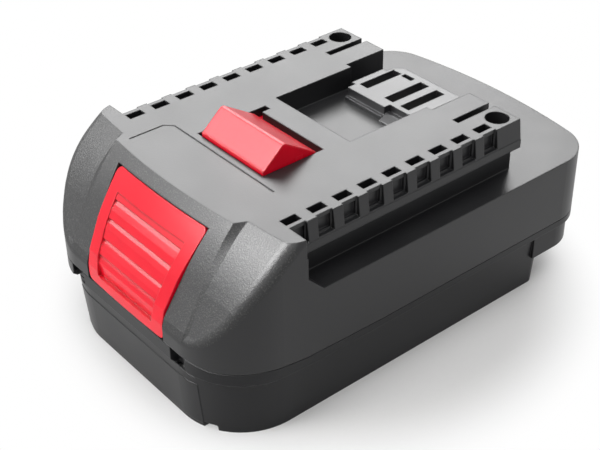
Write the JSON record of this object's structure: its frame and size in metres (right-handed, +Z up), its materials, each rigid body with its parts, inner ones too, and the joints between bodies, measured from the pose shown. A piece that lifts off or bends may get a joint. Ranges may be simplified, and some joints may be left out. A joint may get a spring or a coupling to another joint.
{
  "type": "power tool battery pack",
  "caption": "Slide-on battery pack for a cordless power tool: black split case with slotted rails, open terminal pocket, sprung red latch and ribbed red release button",
  "frame": {"origin": "middle of the bounding box at the underside of the tub", "axes": "+X across the pack, +Y along the rails from the nose with the button to the rear deck, +Z up"},
  "size_m": [0.075, 0.1204, 0.0554],
  "materials": {
    "case_black": "fine textured black polyamide",
    "button_red": "satin red plastic",
    "block_black": "dark grey glass filled plastic",
    "contact_metal": "plated sheet brass",
    "spring_steel": "bright spring wire",
    "screw_steel": "dark zinc plated",
    "board_green": "green board laminate",
    "chip_black": "moulded black epoxy",
    "shunt_metal": "tinned metal",
    "tray_grey": "grey moulded plastic",
    "cell_sleeve": "shrink sleeve",
    "ring_paper": "pressed fibre",
    "nickel": "nickel strip",
    "insulator": "insulating sheet"
  },
  "bodies": {
    "case": {"board_carrier": "tray_grey", "board_screws": "screw_steel", "capacitors": "shunt_metal", "case_screws": "screw_steel", "cell_1": "cell_sleeve", "cell_2": "cell_sleeve", "cell_3": "cell_sleeve", "cell_4": "cell_sleeve", "cell_holder_left": "tray_grey", "cell_holder_right": "tray_grey", "cell_lead_1": "nickel", "cell_lead_2": "nickel", "cell_lead_3": "nickel", "cell_lead_4": "nickel", "cell_lead_5": "nickel", "cell_rings": "ring_paper", "circuit_board": "board_green", "contact_coding": "contact_metal", "contact_negative": "contact_metal", "contact_positive": "contact_metal", "contact_signal": "contact_metal", "controller_chip": "chip_black", "insulator_left": "insulator", "insulator_right": "insulator", "latch_spring_left": "spring_steel", "latch_spring_right": "spring_steel", "lower_housing": "case_black", "nickel_strip_1": "nickel", "nickel_strip_2": "nickel", "nickel_strip_3": "nickel", "nickel_strip_4": "nickel", "nickel_strip_5": "nickel", "power_transistors": "chip_black", "shunt_resistor": "shunt_metal", "terminal_block": "block_black", "thermistor": "chip_black", "upper_housing": "case_black"},
    "button": {"release_button": "button_red"},
    "latch": {"latch_hook": "button_red"}
  },
  "joints": [
    {"name": "button_press", "type": "slide", "parent": "case", "child": "button", "axis": [0, 1, 0], "range_m": [0, 0.005], "stiffness_N_per_m": 20},
    {"name": "latch_drop", "type": "slide", "parent": "case", "child": "latch", "axis": [0, 0, -1], "range_m": [0, 0.005], "stiffness_N_per_m": 400, "deforming": ["latch_spring_left", "latch_spring_right"]}
  ],
  "couplings": [
    {"joint": "button_press", "follows": "latch_drop", "ratio": 1}
  ]
}
